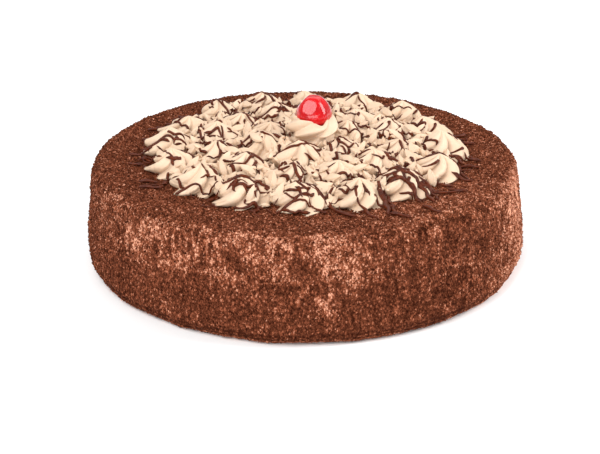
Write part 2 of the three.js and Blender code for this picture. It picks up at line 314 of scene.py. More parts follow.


# %% [markdown]
# ### Sponge crumbs
# The coat is the cake's own brown sponge, rubbed to crumbs and pressed on. It is dull and
# reddish brown, painted darker in its pits as shade, and many crumbs show pale pinkish specks,
# partly their broken faces and partly painted glints of light. A picture of crumbs could be
# wrapped round the cake, but it would stretch and repeat. A pattern of cells gives each crumb its
# own brown instead, and the points' own tone says how light the coat is there, painted light and
# shade included.

# %% Crumb finish
CRUMB_STEPS = [
    (0.0, (0.040, 0.007, 0.002)),
    (0.3, (0.090, 0.024, 0.010)),
    (0.55, (0.184, 0.050, 0.023)),
    (0.75, (0.355, 0.107, 0.050)),
    (1.0, (0.84, 0.415, 0.27)),
]
CRUMB_CELL = 1.05
CRUMB_STRETCH = (1, 1, 0.65)
FINE_GRAIN = 0.9
FINE_SHARE = 0.55
CLOUD_GRAIN = 9.0
CLOUD_SHARE = 0.35
# painted shade: darker towards each crumb cell's border, in the pits
PAINTED_PIT_SHADE = -0.45
KNOB_HEIGHT = 0.7


def crumb_finish(name, cell_share, tone_share, offset):
    """Brown steps chosen by a sum: the tone on the points, a number for each cell of a cell
    pattern, a fine noise, a cloudy one, and how near a cell's border the point is, which paints
    shade into the pits. The relief is high in the middle of a cell."""
    finish, nodes, links, shader = new_finish(name, Roughness=0.85, Specular_IOR_Level=0.05)
    cells = grain(nodes, links, CRUMB_CELL, kind="ShaderNodeTexVoronoi", stretch=CRUMB_STRETCH)
    fine = grain(nodes, links, FINE_GRAIN, detail=3.0)
    clouds = grain(nodes, links, CLOUD_GRAIN, detail=3.0)
    each = nodes.new("ShaderNodeSeparateColor")
    links.new(cells.outputs["Color"], each.inputs["Color"])
    level = sum_of(
        nodes,
        links,
        (tone_of_points(nodes), tone_share),
        (each.outputs["Red"], cell_share),
        (fine.outputs["Fac"], FINE_SHARE),
        (clouds.outputs["Fac"], CLOUD_SHARE),
        (cells.outputs["Distance"], PAINTED_PIT_SHADE),
        offset,
    )
    links.new(colour_steps(nodes, links, level, CRUMB_STEPS), shader.inputs["Base Color"])
    knobs = sum_of(nodes, links, (cells.outputs["Distance"], -1.0), (fine.outputs["Fac"], 0.6), 1.0)
    raised(nodes, links, knobs, KNOB_HEIGHT, shader)
    return finish


coat_finish = crumb_finish("crumb_coat", 0.48, 0.45, -0.075)
loose_finish = crumb_finish("loose_crumbs", 0.10, 1.0, -0.22)
print("finishes:", coat_finish.name, loose_finish.name)

# %% [markdown]
# ### Cream, chocolate and candied fruit
# Whipped cream lets light in a little way and back out, so it gets subsurface light and a soft
# gloss, with faint bubbles. Here and there its creases are painted brown, where the points' tone
# is high: partly chocolate stain and partly painted shade. Chocolate is a deep brown, and only a
# little shiny once it has set. The cherry is red jelly: strong colour, a little subsurface light
# and a hard coat of syrup, which gives the sharp patches of light. Glass would need slow
# refraction, and the flesh is too cloudy for it.

# %% Finishes of the toppings
def cream_finish():
    """Pale cream, mixed softly from two shades, and brown by the tone in the creases, as chocolate
    stain and painted shade.
    """
    finish, nodes, links, shader = new_finish(
        "cream",
        Roughness=0.5,
        Subsurface_Weight=0.12,
        Subsurface_Scale=0.8 * MM,
        Specular_IOR_Level=0.3,
    )
    shader.inputs["Subsurface Radius"].default_value = (1.0, 0.85, 0.6)
    cloudy = grain(nodes, links, 14.0, detail=3.0)
    bubbles = grain(nodes, links, 0.9, detail=5.0)
    shades = [(0.3, (0.625, 0.452, 0.313)), (0.7, (0.670, 0.495, 0.356))]
    colour = colour_steps(nodes, links, cloudy.outputs["Fac"], shades)
    # crease brown: chocolate stain and painted shade
    crease_darkening = sum_of(nodes, links, (tone_of_points(nodes), 0.8), 0.0)
    stain_and_shade = mixed(nodes, links, crease_darkening, colour, (0.20, 0.075, 0.032, 1))
    links.new(stain_and_shade, shader.inputs["Base Color"])
    raised(nodes, links, bubbles.outputs["Fac"], 0.10, shader)
    return finish


def chocolate_finish():
    """Deep brown in faint streaks, which also stand up a little."""
    finish, nodes, links, shader = new_finish(
        "chocolate_drizzle",
        Roughness=0.4,
        Specular_IOR_Level=0.1,
        Coat_Weight=0.1,
        Coat_Roughness=0.08,
    )
    streaks = grain(nodes, links, 3.0, detail=3.0)
    shades = [(0.35, (0.052, 0.009, 0.003)), (0.7, (0.115, 0.022, 0.006))]
    colour = colour_steps(nodes, links, streaks.outputs["Fac"], shades)
    links.new(colour, shader.inputs["Base Color"])
    raised(nodes, links, streaks.outputs["Fac"], 0.08, shader)
    return finish


def cherry_finish():
    """Red, mixed softly from two reds, with shallow wrinkles under a coat of syrup."""
    finish, nodes, links, shader = new_finish(
        "candied_cherry",
        Roughness=0.12,
        Subsurface_Weight=0.15,
        Subsurface_Scale=3.0 * MM,
        Specular_IOR_Level=0.1,
        Coat_Weight=0.8,
        Coat_Roughness=0.04,
    )
    shader.inputs["Subsurface Radius"].default_value = (1.0, 0.12, 0.1)
    flesh = grain(nodes, links, 5.0, detail=3.0)
    wrinkles = grain(nodes, links, 2.4, detail=2.0)
    shades = [(0.3, (0.40, 0.001, 0.003)), (0.7, (0.60, 0.002, 0.005))]
    colour = colour_steps(nodes, links, flesh.outputs["Fac"], shades)
    links.new(colour, shader.inputs["Base Color"])
    raised(nodes, links, wrinkles.outputs["Fac"], 0.6, shader)
    return finish


cream = cream_finish()
chocolate = chocolate_finish()
candied = cherry_finish()
print("finishes:", cream.name, chocolate.name, candied.name)

# %% [markdown]
# ## The coated cake
# The cake is a surface of turning. Its profile goes out along the base, round the tucked foot,
# up the leaning side, over the rounded edge and in across the top. A spun curve would be as
# good for the bare form. A grid of points is used, because the coat's relief can then be added
# to it as plain sums.

# %% Profile of the cake
BASE_REACHES = [60, 100, 113, FOOT_RADIUS]
FOOT_ROWS, SIDE_ROWS, EDGE_ROWS, TOP_ROWS = 12, 45, 14, 30
TOP_BAND = (111.2, 84)
INNER_REACHES = [74, 55, 30]


def cake_profile():
    """Reach and height along the profile, base to top, in millimetres. The foot is a quarter
    of an ellipse and the top edge a quarter of a circle."""
    foot = np.linspace(np.pi / 2, 0, FOOT_ROWS + 1)[1:]
    side = np.linspace(0, 1, SIDE_ROWS + 1)[1:]
    edge = np.linspace(0, np.pi / 2, EDGE_ROWS + 1)[1:]
    shoulder = CAKE_HEIGHT - TOP_EDGE_ROUND
    parts = [
        [BASE_REACHES, np.zeros(len(BASE_REACHES))],
        [
            FOOT_RADIUS + (CAKE_RADIUS - FOOT_RADIUS) * np.cos(foot),
            FOOT_HEIGHT * (1 - np.sin(foot)),
        ],
        [
            CAKE_RADIUS + side * (CAKE_TOP_RADIUS - CAKE_RADIUS),
            FOOT_HEIGHT + side * (shoulder - FOOT_HEIGHT),
        ],
        [
            CAKE_TOP_RADIUS - TOP_EDGE_ROUND * (1 - np.cos(edge)),
            shoulder + TOP_EDGE_ROUND * np.sin(edge),
        ],
        [np.linspace(*TOP_BAND, TOP_ROWS), np.full(TOP_ROWS, CAKE_HEIGHT)],
        [INNER_REACHES, np.full(len(INNER_REACHES), CAKE_HEIGHT)],
    ]
    return np.concatenate([np.array(part) for part in parts], axis=1)


profile = cake_profile()
print("rows up the profile:", profile.shape[1])

# %% [markdown]
# The crumbs aren't laid evenly. Hills of three sizes make soft dents, clumps and the crumbs
# themselves. On the right of the front the coat hangs in taller clumps, and where it was
# smoothed round the foot, two shallow grooves are left.

# %% Relief of the coat
DRIPPING = np.array([1, 1, 0.33])
RIGHT_SIDE = {"middle": -30, "half": 42, "border": 4}
HANGING_DEPTH = 0.7
FOOT_GROOVES = [{"middle": 3.4, "width": 0.55}, {"middle": 6.0, "width": 0.7}]
GROOVE_IN_COAT = 0.9


def bearing(points):
    """Angle round the cake in degrees, 0 on the right and -90 towards us."""
    return np.degrees(np.arctan2(points[..., 1], points[..., 0]))


def right_side(points):
    """1 on the right of the side that faces us, and 0 elsewhere."""
    return within(bearing(points), **RIGHT_SIDE)


def hanging_clumps(points):
    """Hills 2.9 mm across and three times as tall, from -1 to 1, on the right side alone."""
    return right_side(points) * hills(points * DRIPPING, 2.9, 10)


def foot_grooves(height):
    """1 in each of the two grooves round the foot, and 0 elsewhere."""
    return sum(hump(height, **place) for place in FOOT_GROOVES)


def coat_relief(points, height, angle):
    """How far the crumb coat stands out, in millimetres, at each point of the bare cake: hills
    8, 2.6 and 1.25 mm across, the smallest folded up into peaks, then the hanging clumps,
    which fade out towards the foot, less the grooves, which come and go round the cake."""
    dents = 0.35 * hills(points, 8.0, 1)
    clumps = 0.35 * hills(points, 2.6, 2)
    hanging = HANGING_DEPTH * (height < CAKE_HEIGHT) * np.clip(height / 12, 0, 1)
    clumps = clumps + hanging * hanging_clumps(points)
    crumbs = 0.55 * (1 - np.abs(hills(points, 1.25, 3))) - 0.3
    smoothed = 0.6 + 0.4 * hills(round_grid(40, angle, height * 0.2), 14.0, 4)
    return dents + clumps + crumbs - GROOVE_IN_COAT * foot_grooves(height) * smoothed


# %% [markdown]
# The waves from the plain solid keep the cake a little out of round. Then each point moves
# along its own outward direction, which comes from the slope between the rows beside it.

# %% Points of the coat
COLUMNS = 880
reach, height = profile[:, :, None]
angle = np.linspace(0, TURN, COLUMNS, endpoint=False)[None, :]
waves = sum(
    wave["share"] * np.sin(wave["times"] * angle + wave["start"] + wave["climb"] * height)
    for wave in COAT_WAVES
)
on_side = (height > 0) & (reach > CREAM_RADIUS)
bare = round_grid(reach + COAT_SWELL * waves * on_side, angle, height)
along = np.gradient(bare, axis=0)
out_reach = along[..., 2]
out_height = -np.hypot(along[..., 0], along[..., 1]) * np.sign(np.gradient(reach, axis=0))
length = np.maximum(np.hypot(out_reach, out_height), 1e-6)
outward = round_grid(out_reach / length, angle, out_height / length)
relief = coat_relief(bare, height, angle) * (height > 0)
coat = bare + outward * relief[..., None]
coat[..., 2] = np.maximum(coat[..., 2], 0)
print("coat relief from", round(float(relief.min()), 2), "to", round(float(relief.max()), 2), "mm")

# %% [markdown]
# The coat is pressed thin in a broad patch on the left of the front, and there its crumbs are
# also painted with pale glints of the front light. Round to the right it is lighter, as painted
# light, and there is painted shade and a painted highlight too. The shader can't know that, so it
# is worked out here on the points, as one number called tone. Painting it by hand would work
# too, but wouldn't follow a change of size.

# %% Where the coat is thin, and its painted light and shade
STREAKED = np.array([1, 1, 0.15])
PALE_SIDE = {"middle": -113, "half": 40, "border": 5}
PALE_ELSEWHERE = 0.18
PALE_FROM_REACH = 115.5
DARK_PATCH = {"at": np.array([-36.5, -119.5, 45.0]), "size": 8.0}
# painted light from the right
PAINTED_LIGHT_RIGHT = {"middle": -16, "width": 17}
# painted shade between the thin patch and the lit right side
PAINTED_SHADE_BETWEEN = {"middle": -58, "width": 15}
LIGHT_LEFT = {"middle": -165, "width": 20}
# a painted highlight along the front of the rim
RIM_HIGHLIGHT_HEIGHT = {"middle": 54, "width": 2}
RIM_HIGHLIGHT_FRONT = {"middle": -72, "width": 20}
LOWEST_EDGE = {"middle": 1.2, "width": 1.3}
TOP_FRONT = {"middle": -52, "width": 30}


def thin_coat_and_glints(points):
    """Where the coat is pressed thin, and where pale glints of the front light are painted on its
    crumbs, from 0 to 1: broad patches on the side, strongest to the front and left, from a third
    of the way up to the top edge, with ragged borders and one dark patch. Inside them, thin veins
    3 mm apart come from noise folded at its middle."""
    x, y, z = np.moveaxis(points, -1, 0)
    around = bearing(points)
    facing = PALE_ELSEWHERE + (1 - PALE_ELSEWHERE) * within(around, **PALE_SIDE)
    low_border = 24 - 6 * hump(around, -84, 18) + 6 * hills(points, 16.0, 5)
    over_edge = np.hypot(x, y) - PALE_FROM_REACH + 2.5 * hills(points, 9.0, 15)
    upper = np.clip((z - low_border) / 9, 0, 1) * np.clip(over_edge / 1.5, 0, 1)
    dark = hump(np.linalg.norm(points - DARK_PATCH["at"], axis=-1), 0, DARK_PATCH["size"])
    ragged = 0.75 + 0.55 * hills(points, 13.0, 5) + 0.25 * hills(points, 5.0, 6)
    veins = 1.3 - 2.0 * np.abs(hills(points * DRIPPING, 3.4, 7))
    return np.clip(facing * upper * ragged * (1 - 0.8 * dark) * veins, 0, 1)


def coat_tone_and_light(points):
    """How light the brown is, painted light and shade included. The side is lightest round to the
    right, in upright streaks, as painted light from the right, and a little light at the far left
    and along its lowest edge. A painted highlight runs along the rim at the front. It is dark in
    the foot's grooves and between the thin patch and the light side, as painted shade, and cloudy
    all over. The top is painted darker than the lit side, as shade, and is lighter to the front
    right."""
    z = points[..., 2]
    around = bearing(points)
    # painted light round to the right, less painted shade between it and the thin patch
    right = 0.74 * hump(around, **PAINTED_LIGHT_RIGHT) - 0.15 * hump(around, **PAINTED_SHADE_BETWEEN)
    streaks = 1 + 0.5 * hills(points * STREAKED, 2.4, 8)
    # lighter low on the right and at the far left
    paler_low_right = 0.12 * right_side(points) * np.clip((22 - z) / 10, 0, 1)
    paler_parts = 0.1 * hump(around, **LIGHT_LEFT) + paler_low_right
    # painted highlight along the rim at the front
    rim = 0.3 * hump(z, **RIM_HIGHLIGHT_HEIGHT) * hump(around, **RIM_HIGHLIGHT_FRONT)
    lowest = hump(z, **LOWEST_EDGE) * (0.4 + 0.4 * hills(points, 3.0, 14))
    side = 0.06 + right * streaks + 0.4 * hanging_clumps(points) + paler_parts + rim
    # painted shade in the foot's grooves
    side = side + lowest - 0.8 * foot_grooves(z) + 0.09 * hills(points, 15.0, 9)
    # the top is painted darker than the lit side, as shade, and lighter to the front right
    flat = 0.24 + 0.2 * hump(around, **TOP_FRONT)
    top = np.clip((z - CAKE_HEIGHT + 2.5) / 2, 0, 1)
    return flat * top + side * (1 - top)


# %% Put the coat into a mesh
# how much the thin coat and its painted glints of light lighten the tone
THIN_AND_GLINT_SHARE = 0.75
rows = coat.shape[0]
coat_points = with_poles(coat, (0, 0, 0), (0, 0, CAKE_HEIGHT))
coat_faces = round_faces(rows, COLUMNS)
# tone: the coat's colour with its painted light, shade and glints
coat_tone = coat_tone_and_light(coat_points) + THIN_AND_GLINT_SHARE * thin_coat_and_glints(coat_points)
crumb_coat = add_piece(
    "crumb_coat", coat_points, coat_faces, coat_finish, tone=coat_tone
)
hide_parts("cake")

# %% [markdown]
# ## Loose crumbs
# On top of the coat lie crumbs that stand out by themselves and break up the outline. Each is
# a lump with eight faces, stretched and turned at random, and half sunk in the coat. Particles
# could scatter them, but a mesh of real crumbs is what gets exported. The draw is seeded, and
# picks places on the coat's own grid, with larger cells drawn more often.

# %% One crumb and its turns
LUMP = np.array([[1, 0, 0], [-1, 0, 0], [0, 1, 0], [0, -1, 0], [0, 0, 1], [0, 0, -1]], float)
LUMP_FACES = np.array(
    [[0, 2, 4], [2, 1, 4], [1, 3, 4], [3, 0, 4], [2, 0, 5], [1, 2, 5], [3, 1, 5], [0, 3, 5]]
)


def random_turns(draw, count):
    """Rotation matrices spread evenly over all directions, from random unit quaternions."""
    q = draw.normal(size=(count, 4))
    w, x, y, z = (q / np.linalg.norm(q, axis=1, keepdims=True)).T
    return np.stack(
        [
            np.stack([1 - 2 * (y * y + z * z), 2 * (x * y - z * w), 2 * (x * z + y * w)], -1),
            np.stack([2 * (x * y + z * w), 1 - 2 * (x * x + z * z), 2 * (y * z - x * w)], -1),
            np.stack([2 * (x * z - y * w), 2 * (y * z + x * w), 1 - 2 * (x * x + y * y)], -1),
        ],
        axis=1,
    )


# %% Scatter crumbs on the coat
FOOT_ROW = len(BASE_REACHES)
SIDE_ROW = FOOT_ROW + FOOT_ROWS - 2
EDGE_ROW = FOOT_ROW + FOOT_ROWS + SIDE_ROWS
TOP_ROW = rows - len(INNER_REACHES) - 1
LOOSE_CRUMBS = {
    "crumbs_side": {
        "first_row": SIDE_ROW,
        "last_row": EDGE_ROW + 8,
        "count": 23500,
        "sizes": (0.6, 1.6),
        "tones": (0.42, 0.16),
        "seed": 11,
    },
    "crumbs_fine": {
        "first_row": FOOT_ROW + 1,
        "last_row": TOP_ROW,
        "count": 24500,
        "sizes": (0.45, 0.9),
        "tones": (0.44, 0.2),
        "seed": 13,
    },
    "crumbs_top": {
        "first_row": EDGE_ROW + 4,
        "last_row": TOP_ROW,
        "count": 24500,
        "sizes": (0.6, 1.7),
        "tones": (0.40, 0.17),
        "seed": 12,
    },
}
MOSTLY_SMALL = 2.5
LIFTED = 0.15
ARM_LENGTHS = (0.35, 0.6)
FROM_COAT = 0.6
# chance that a crumb takes the coat's thinness and painted glints
THIN_AND_GLINT_CHANCE = 0.6


def crumbs_on(name, first_row, last_row, count, sizes, tones, seed):
    """Crumbs on some rows of the coat. Sizes follow a falling curve, so most are small. tones
    is the middle and the spread of the crumbs' tones, and part of the coat's tone is added, with
    its painted light and shade, and with the coat's thinness and painted glints for some of them."""
    draw = np.random.default_rng(seed)
    band = coat[first_row:last_row]
    cell = np.linalg.norm(band[1:] - band[:-1], axis=-1) * np.hypot(band[1:, :, 0], band[1:, :, 1])
    chance = (cell / cell.sum()).ravel()
    chosen = draw.choice(chance.size, size=count, p=chance)
    row, column = np.divmod(chosen, COLUMNS)
    share = draw.random((count, 1))
    spot = band[row, column] * (1 - share) + band[row + 1, (column + 1) % COLUMNS] * share
    size = sizes[0] + (sizes[1] - sizes[0]) * draw.random(count) ** MOSTLY_SMALL
    spot = spot + outward[first_row + row, column] * (LIFTED * size)[:, None]
    lumps = LUMP * draw.uniform(*ARM_LENGTHS, (count, len(LUMP), 1)) * size[:, None, None]
    lumps = np.einsum("nij,nkj->nki", random_turns(draw, count), lumps)
    points = (spot[:, None, :] + lumps).reshape(-1, 3)
    points[:, 2] = np.maximum(points[:, 2], 0.02)
    # the coat's tone here carries its painted light and shade
    own = tones[0] + tones[1] * draw.normal(size=count) + FROM_COAT * coat_tone_and_light(spot)
    # the coat's thinness, with its painted glints of the front light
    thin = thin_coat_and_glints(spot) * (draw.random(count) < THIN_AND_GLINT_CHANCE)
    tone = np.repeat(np.clip(own + FROM_COAT * thin, 0.05, 1), len(LUMP))
    faces = LUMP_FACES[None] + len(LUMP) * np.arange(count)[:, None, None]
    faces = [faces.reshape(-1, 3)]
    add_piece(name, points, faces, loose_finish, tone=tone, smooth=False)


for name, crumbs in LOOSE_CRUMBS.items():
    crumbs_on(name, **crumbs)

# %% [markdown]
# ## Piped rosettes
# This star nozzle leaves six ridges. As the bag is lifted and turned they wind up to a tip. A
# twisted and tapered star could be made with modifiers, but all would come out alike. Here a
# rosette is a grid of height against angle: an outline says how far out the surface is at each
# height, and grooves cut into it along lines that turn as they rise. Where neighbours meet,
# each stops at the upright plane between them, as soft cream does.

# %% Where the rosettes are
def place_rosettes():
    """Centres, sizes and turns of all the rosettes, ring by ring, with the even scatter."""
    rosettes = []
    for ring in RINGS:
        for i in range(ring["count"]):
            n = len(rosettes)
            angle = ring["start"] + TURN * i / ring["count"]
            distance = ring["distance"] + PLACE_SPREAD * scatter(n, 1)
            aside = PLACE_SPREAD * scatter(n, 3)
            rosettes.append(
                {
                    "node": f"rosette_{ring['name']}{i + 1:02d}",
                    "n": n,
                    "x": distance * np.cos(angle) - aside * np.sin(angle),
                    "y": distance * np.sin(angle) + aside * np.cos(angle),
                    "radius": ring["radius"] * (1 + SIZE_SPREAD * scatter(n, 2)),
                    "height": ring["height"] * (1 + HEIGHT_SPREAD * scatter(n, 4)),
                    "turn": TURN * scatter(n, 5),
                    "lean": np.array([TIP_LEAN * scatter(n, 6), TIP_LEAN * scatter(n, 7)]),
                }
            )
    return rosettes


rosettes = place_rosettes()
print("rosettes in rings:", len(rosettes))

# %% Outline and grooves of a rosette
def outline(share):
    """Reach at a share of the height: a full foot that tucks under, then a dome to a tip."""
    under = np.maximum(0, 1 - share / TUCK_HEIGHT)
    return (1 - TUCK_DEPTH * under**2) * np.maximum(0, 1 - share**1.8)


def groove(angle, lobes=LOBES):
    """Depth of the star's grooves at an angle: 1 in a crease and 0 on a ridge. A ridge rises
    steeply and nearly straight from one crease to a crisp edge, then curves away slowly to the
    next, as a quarter of a sine."""
    phase = (angle * lobes / TURN) % 1
    steep = (phase / CREST_PHASE) ** 1.2
    slow = np.sin((1 - phase) / (1 - CREST_PHASE) * np.pi / 2)
    return 1 - np.where(phase < CREST_PHASE, steep, slow)


def groove_depth(share):
    """How much of the reach a groove takes away, which grows evenly with the height."""
    return GROOVE_DEPTH * (1 + GROOVE_DEEPENS * share)


def unevenness(own, turn):
    """How far the ridges stand off their even places: one sine round the rosette, and a smaller
    one twice round it."""
    return LOBE_UNEVEN * (np.sin(own + turn) + UNEVEN_AGAIN * np.sin(2 * own - turn))


print("grooves take", groove_depth(0.0), "of the reach at the foot")

# %% Press neighbours against each other
FIRMNESS = 4.0
BORDER_WANDER = 1.5
FARTHEST_BORDER = 40
NO_LIMIT = 60


def pressed(reach, angle, height, rosette):
    """Holds the reach back where neighbours meet, with a soft corner: minus the logarithm of a
    sum of powers of e is a smooth smallest value. The border to a neighbour is the upright plane
    where their two circles cross. It wanders by shared hills, added on one side and taken away
    on the other, so that the two sides of the border fit each other."""
    total = np.exp(-FIRMNESS * reach)
    for other in rosettes:
        gap = np.array([other["x"] - rosette["x"], other["y"] - rosette["y"]])
        apart = np.hypot(*gap)
        if other is rosette or apart > rosette["radius"] + other["radius"] + CLEARANCE:
            continue
        own = (apart**2 + rosette["radius"] ** 2 - other["radius"] ** 2) / (2 * apart)
        towards = np.maximum(np.cos(angle - np.arctan2(gap[1], gap[0])), 0.05)
        side = 1 if rosette["n"] < other["n"] else -1
        plane = np.minimum(own / towards, FARTHEST_BORDER)
        border = round_grid(plane, angle, height, rosette["x"], rosette["y"])
        wander = BORDER_WANDER * side * hills(border, 5.0, 24)
        limit = (own - CLEARANCE / 2 + wander) / towards
        total = total + np.exp(-FIRMNESS * np.minimum(limit, NO_LIMIT))
    return -np.log(total) / FIRMNESS


# %% [markdown]
# The inner rosettes are rougher than the outer ones, and their creases are painted browner:
# partly chocolate that ran in where most of the drizzle fell, and partly painted shade.

# %% Points of a rosette
ROSETTE_COLUMNS = 144
ROSETTE_ROWS = 40
TOP_SHARE = 0.985
EASED_PART = 0.6
LOBE_SPREAD = 0.12
SECOND_FOLDS = 0.14
SOFT_DENTS = 0.7
TEAR_DEPTH = 0.6
# how far the creases are painted brown, as chocolate stain and shade
OUTER_CREAM = {"ragged": 0.5, "stain_and_shade": 0.25}
INNER_CREAM = {"ragged": 1.3, "stain_and_shade": 0.7}


def rosette_grid(rosette):
    """Points of a rosette, and how much the crease there is painted brown, as chocolate stain and
    shade, from 0 to 1.
    Rows rise from foot to tip, closer together at both ends. On the main ridges lie patches of
    smaller ones, soft dents, ragged edges and thin tears, all from hills of their own sizes,
    and they fade out towards the tip."""
    step = np.linspace(0, 1, ROSETTE_ROWS, endpoint=False)[:, None]
    eased = 0.5 - 0.5 * np.cos(np.pi * step)
    share = TOP_SHARE * (EASED_PART * eased + (1 - EASED_PART) * step)
    angle = np.linspace(0, TURN, ROSETTE_COLUMNS, endpoint=False)[None, :]
    turn, n = rosette["turn"], rosette["n"]
    kind = OUTER_CREAM if n < RINGS[0]["count"] else INNER_CREAM
    own = angle - turn - LOBE_TWIST * share**TWIST_EASE
    own = own + unevenness(own, turn)
    crease = groove(own)
    lobe = np.floor(own * LOBES / TURN) % LOBES
    lobe_size = 1 + LOBE_SPREAD * scatter(lobe + LOBES * n, 8) * (1 - crease)
    reach = rosette["radius"] * outline(share) * lobe_size * (1 - groove_depth(share) * crease)
    height = rosette["height"] * share
    around = round_grid(reach, angle, height) + 50 * n
    second = np.clip(0.2 + hills(around, 9.0, 23), 0, 1) * (1 - crease)
    reach = reach * (1 - SECOND_FOLDS * second * groove(own + 0.3, 3 * LOBES))
    reach = reach + SOFT_DENTS * hills(around, 7.0, 21) * (1 - share**3)
    ragged = (0.35 - np.abs(hills(around, 5.5, 27))) * (1 - share**4)
    torn = np.clip(1 - 6 * np.abs(hills(around, 6.0, 25)), 0, 1) * (1 - share**4)
    reach = reach + kind["ragged"] * ragged - TEAR_DEPTH * torn + 0.05 * hills(around, 1.4, 22)
    reach = pressed(np.maximum(reach, 0.15), angle, height, rosette)
    bend = rosette["lean"][:, None, None] * share**2
    z = CAKE_HEIGHT - CLEARANCE + (rosette["height"] + 2 * CLEARANCE) * share
    grid = round_grid(reach, angle, z, rosette["x"] + bend[0], rosette["y"] + bend[1])
    # painted brown in the creases: chocolate stain and painted shade
    stain_and_shade = np.clip(kind["stain_and_shade"] + 0.9 * hills(around, 8.0, 26), 0, 1) * (1 - share**6)
    return grid, stain_and_shade * np.clip(2.6 * crease - 1.5, 0, 1)


# %% Pipe the rosettes
rosette_faces = round_faces(ROSETTE_ROWS, ROSETTE_COLUMNS)
cream_surfaces = []
for rosette in rosettes:
    grid, stain_and_shade = rosette_grid(rosette)
    cream_surfaces.append(grid)
    foot = (rosette["x"], rosette["y"], CAKE_HEIGHT - CLEARANCE)
    tip = (
        rosette["x"] + rosette["lean"][0],
        rosette["y"] + rosette["lean"][1],
        CAKE_HEIGHT + CLEARANCE + rosette["height"],
    )
    points = with_poles(grid, foot, tip)
    tone = np.concatenate([[0], stain_and_shade.ravel(), [0]])
    piped = add_piece("piped_" + rosette["node"], points, rosette_faces, cream, tone)
    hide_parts(rosette["node"])

# %% [markdown]
# ## The raised rosette
# One more swirl was piped on top, over the middle, and the cherry was pushed into it. Its
# folds are fewer, broader and wound nearly flat. A dome like the others has no room for the
# cherry, so this one has a profile that overhangs: up the stem, out under the skirt, up to the
# rim and down into the seat, with a smooth curve through its points. The rim dips at the front
# right, where the cherry presses on it.

# %% Profile of the raised rosette
def smooth_path(points, count):
    """A curve through the points that takes its direction at each from the two beside it."""
    points = np.asarray(points, float)
    padded = np.vstack([2 * points[0] - points[1], points, 2 * points[-1] - points[-2]])
    place = np.linspace(0, len(points) - 1 - 1e-9, count)
    i = place.astype(int)
    t = (place - i)[:, None]
    a, b, c, d = padded[i], padded[i + 1], padded[i + 2], padded[i + 3]
    return 0.5 * (
        2 * b + (c - a) * t + (2 * a - 5 * b + 4 * c - d) * t**2 + (3 * b - a - 3 * c + d) * t**3
    )


RAISED_PROFILE = [
    [12.8, -CLEARANCE],
    [13.2, 5.0],
    [13.2, CENTRE_STEM - 1.0],
    [12.2, 12.7],
    [15.0, 14.6],
    [15.6, 17.0],
    [14.0, 19.8],
    [11.6, 22.1],
    [10.2, CENTRE_TOP],
    [8.4, 18.6],
    [4.5, 15.0],
]
RAISED_ROWS = 64
reach, height = smooth_path(RAISED_PROFILE, RAISED_ROWS).T[:, :, None]
print("widest reach of the raised rosette:", round(float(reach.max()), 1), "mm")

# %% Pipe the raised rosette
RAISED_COLUMNS = 180
RAISED_FOLDS = 5
RAISED_START = 0.5
FOLD_DEPTH = 0.24
SEAT_HEIGHT = 14.2
DIP = {"bearing": 302, "before": 30, "after": 20, "depth": 3.4, "elsewhere": -0.5}
angle = np.linspace(0, TURN, RAISED_COLUMNS, endpoint=False)[None, :]
climb = np.clip((height - CENTRE_STEM) / (CENTRE_TOP - CENTRE_STEM), -1, 1)
own = angle - CENTRE_TWIST * climb - RAISED_START
skirt = np.clip(0.7 + climb * 3, 0.5, 1) * np.clip((reach - 8) / 2, 0, 1)
folded = reach * (1 - FOLD_DEPTH * skirt * groove(own, RAISED_FOLDS))
folded = folded + 0.5 * skirt * hills(round_grid(folded, angle, height), 6.0, 31)
past_dip = np.degrees(angle) - DIP["bearing"]
near_dip = hump(past_dip, 0, np.where(past_dip < 0, DIP["before"], DIP["after"]))
dip = (DIP["depth"] * near_dip + DIP["elsewhere"]) * np.clip(2 * climb - 1, 0, 1)
raised_grid = round_grid(folded, angle, CAKE_HEIGHT + height - dip, *CENTRE)
raised_points = with_poles(
    raised_grid, (*CENTRE, CAKE_HEIGHT - CLEARANCE), (*CENTRE, CAKE_HEIGHT + SEAT_HEIGHT)
)
raised_faces = round_faces(*raised_grid.shape[:2])
raised_rosette = add_piece("piped_rosette_centre", raised_points, raised_faces, cream)
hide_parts("rosette_centre")

# %% [markdown]
# ## A map of the cream
# The scraps of cream and the chocolate that come next lie on the rosettes. Blender could find
# each resting place by casting a ray. A map is much quicker for so many: the highest point of
# the rosettes' own grids is kept for each half millimetre square. A square that none fell in
# takes the height of its highest neighbour.

# %% Map the height of the cream
CELL = 0.5
MAP_HALF = 125
CRUMBS_STAND = 1.2
map_size = int(2 * MAP_HALF / CELL)
bare_top = CAKE_HEIGHT + CRUMBS_STAND
height_map = np.full((map_size, map_size), bare_top)


def raise_map(points):
    """Raises each square of the map to the highest of the points that lie in it."""
    cell = ((points[:, :2] + MAP_HALF) / CELL).astype(int)
    np.maximum.at(height_map, (cell[:, 1], cell[:, 0]), points[:, 2])


def with_midpoints(grid):
    """The points of a grid that closes round, and the points halfway between them."""
    beside = (grid + np.roll(grid, -1, axis=1)) / 2
    wide = np.stack([grid, beside], axis=2).reshape(len(grid), -1, 3)
    return np.concatenate([wide, (wide[1:] + wide[:-1]) / 2]).reshape(-1, 3)


for grid in cream_surfaces:
    raise_map(with_midpoints(grid))

shifts = [(dy, dx) for dy in (-1, 0, 1) for dx in (-1, 0, 1)]
beside = np.max([np.roll(height_map, shift, axis=(0, 1)) for shift in shifts], axis=0)
height_map = np.where(height_map == bare_top, beside, height_map)
print("highest cream:", round(float(height_map.max()), 1), "mm")

